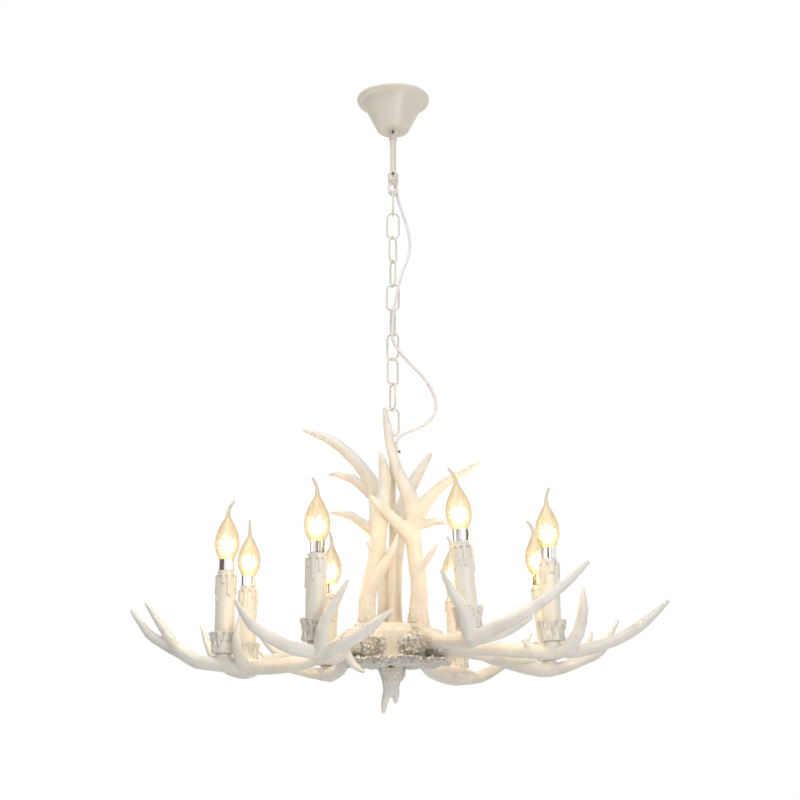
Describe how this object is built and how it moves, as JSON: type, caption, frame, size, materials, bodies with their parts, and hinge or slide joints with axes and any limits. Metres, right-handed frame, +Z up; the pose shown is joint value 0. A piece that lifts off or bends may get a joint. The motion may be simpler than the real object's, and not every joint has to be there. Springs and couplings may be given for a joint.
{
  "type": "antler chandelier",
  "caption": "Chain-hung chandelier of forked antlers round a ribbed hub, with candle lights on the arms, upright antlers, a ceiling cup, a looped supply cord and a small forked finial.",
  "frame": {"origin": "on the ceiling, midway between the two fixing holes of the bracket", "axes": "+Z up into the ceiling, -Z down the chain; -Y towards the viewer of the picture; +X to the viewer's right, along the two fixing holes"},
  "size_m": [0.7933, 0.6067, 0.9969],
  "materials": {
    "resin": "satin cast resin with bark relief",
    "cream_metal": "satin ivory paint",
    "zinc": "zinc plated",
    "dark_screw": "dark bronzed steel",
    "bulb_metal": "bright nickel",
    "sleeve": "satin ivory with wax drips",
    "holder": "satin white",
    "block": "plain",
    "bulb_glass": "clear, warm tinted",
    "cord": "translucent white"
  },
  "bodies": {
    "ceiling_fixing": {"ceiling_bracket": "zinc", "stem_nuts": "zinc", "stem_tube": "cream_metal", "terminal_block": "block", "terminal_screws": "zinc", "upper_chain_eye": "cream_metal", "upper_eye_screw": "dark_screw", "supply_cord": "cord"},
    "ceiling_cup": {"canopy": "cream_metal", "canopy_collar": "cream_metal", "collar_screw": "dark_screw"},
    "link_1": {"chain_link_1": "cream_metal"},
    "link_2": {"chain_link_2": "cream_metal"},
    "link_3": {"chain_link_3": "cream_metal"},
    "link_4": {"chain_link_4": "cream_metal"},
    "link_5": {"chain_link_5": "cream_metal"},
    "link_6": {"chain_link_6": "cream_metal"},
    "link_7": {"chain_link_7": "cream_metal"},
    "link_8": {"chain_link_8": "cream_metal"},
    "link_9": {"chain_link_9": "cream_metal"},
    "link_10": {"chain_link_10": "cream_metal"},
    "pendant": {"lower_chain_eye": "cream_metal", "lower_eye_screw": "dark_screw", "centre_tube": "cream_metal", "hub_core": "resin", "bottom_plate": "resin", "bottom_nut": "zinc", "finial": "resin", "arm_antler_1": "resin", "arm_antler_2": "resin", "arm_antler_3": "resin", "arm_antler_4": "resin", "arm_antler_5": "resin", "arm_antler_6": "resin", "arm_antler_7": "resin", "arm_antler_8": "resin", "upper_antler_1": "resin", "upper_antler_2": "resin", "upper_antler_3": "resin", "upper_antler_4": "resin", "candle_cups": "resin", "candle_sleeves": "sleeve", "lampholders": "holder", "candle_nipples": "zinc"},
    "bulb_1": {"bulb_glass_1": "bulb_glass", "bulb_cap_1": "bulb_metal"},
    "bulb_2": {"bulb_glass_2": "bulb_glass", "bulb_cap_2": "bulb_metal"},
    "bulb_3": {"bulb_glass_3": "bulb_glass", "bulb_cap_3": "bulb_metal"},
    "bulb_4": {"bulb_glass_4": "bulb_glass", "bulb_cap_4": "bulb_metal"},
    "bulb_5": {"bulb_glass_5": "bulb_glass", "bulb_cap_5": "bulb_metal"},
    "bulb_6": {"bulb_glass_6": "bulb_glass", "bulb_cap_6": "bulb_metal"},
    "bulb_7": {"bulb_glass_7": "bulb_glass", "bulb_cap_7": "bulb_metal"},
    "bulb_8": {"bulb_glass_8": "bulb_glass", "bulb_cap_8": "bulb_metal"}
  },
  "joints": [
    {"name": "cup_slide", "type": "slide", "parent": "ceiling_fixing", "child": "ceiling_cup", "axis": [0, 0, -1], "range_m": [0, 0.04]},
    {"name": "link_1_swing", "type": "hinge", "parent": "ceiling_fixing", "child": "link_1", "pos_m": [0, 0, -0.1749], "axis": [1, 0, 0], "range_deg": [-12, 12], "deforming": ["supply_cord"]},
    {"name": "link_2_swing", "type": "hinge", "parent": "link_1", "child": "link_2", "pos_m": [0, 0, -0.2094], "axis": [0, 1, 0], "range_deg": [-12, 12], "deforming": ["supply_cord"]},
    {"name": "link_3_swing", "type": "hinge", "parent": "link_2", "child": "link_3", "pos_m": [0, 0, -0.2502], "axis": [1, 0, 0], "range_deg": [-12, 12], "deforming": ["supply_cord"]},
    {"name": "link_4_swing", "type": "hinge", "parent": "link_3", "child": "link_4", "pos_m": [0, 0, -0.291], "axis": [0.5736, 0.8192, 0], "range_deg": [-12, 12], "deforming": ["supply_cord"]},
    {"name": "link_5_swing", "type": "hinge", "parent": "link_4", "child": "link_5", "pos_m": [0, 0, -0.3318], "axis": [-0.4226, 0.9063, 0], "range_deg": [-12, 12], "deforming": ["supply_cord"]},
    {"name": "link_6_swing", "type": "hinge", "parent": "link_5", "child": "link_6", "pos_m": [0, 0, -0.3726], "axis": [-1, 0, 0], "range_deg": [-12, 12], "deforming": ["supply_cord"]},
    {"name": "link_7_swing", "type": "hinge", "parent": "link_6", "child": "link_7", "pos_m": [0, 0, -0.4134], "axis": [-0.342, -0.9397, 0], "range_deg": [-12, 12], "deforming": ["supply_cord"]},
    {"name": "link_8_swing", "type": "hinge", "parent": "link_7", "child": "link_8", "pos_m": [0, 0, -0.4542], "axis": [0.9063, -0.4226, 0], "range_deg": [-12, 12], "deforming": ["supply_cord"]},
    {"name": "link_9_swing", "type": "hinge", "parent": "link_8", "child": "link_9", "pos_m": [0, 0, -0.495], "axis": [0.8192, 0.5736, 0], "range_deg": [-12, 12], "deforming": ["supply_cord"]},
    {"name": "link_10_swing", "type": "hinge", "parent": "link_9", "child": "link_10", "pos_m": [0, 0, -0.5358], "axis": [-0.4226, 0.9063, 0], "range_deg": [-12, 12], "deforming": ["supply_cord"]},
    {"name": "pendant_swing", "type": "hinge", "parent": "link_10", "child": "pendant", "pos_m": [0, 0, -0.5766], "axis": [-0.9962, -0.0872, 0], "range_deg": [-12, 12], "deforming": ["supply_cord"]},
    {"name": "bulb_1_unscrew", "type": "slide", "parent": "pendant", "child": "bulb_1", "axis": [0, 0, 1], "range_m": [0, 0.02]},
    {"name": "bulb_2_unscrew", "type": "slide", "parent": "pendant", "child": "bulb_2", "axis": [-0.0785, 0, 0.9969], "range_m": [0, 0.02]},
    {"name": "bulb_3_unscrew", "type": "slide", "parent": "pendant", "child": "bulb_3", "axis": [-0.0175, 0, 0.9998], "range_m": [0, 0.02]},
    {"name": "bulb_4_unscrew", "type": "slide", "parent": "pendant", "child": "bulb_4", "axis": [-0.0958, 0, 0.9954], "range_m": [0, 0.02]},
    {"name": "bulb_5_unscrew", "type": "slide", "parent": "pendant", "child": "bulb_5", "axis": [-0.0436, 0, 0.999], "range_m": [0, 0.02]},
    {"name": "bulb_6_unscrew", "type": "slide", "parent": "pendant", "child": "bulb_6", "axis": [0.0262, 0, 0.9997], "range_m": [0, 0.02]},
    {"name": "bulb_7_unscrew", "type": "slide", "parent": "pendant", "child": "bulb_7", "axis": [0, 0, 1], "range_m": [0, 0.02]},
    {"name": "bulb_8_unscrew", "type": "slide", "parent": "pendant", "child": "bulb_8", "axis": [0, 0, 1], "range_m": [0, 0.02]}
  ]
}
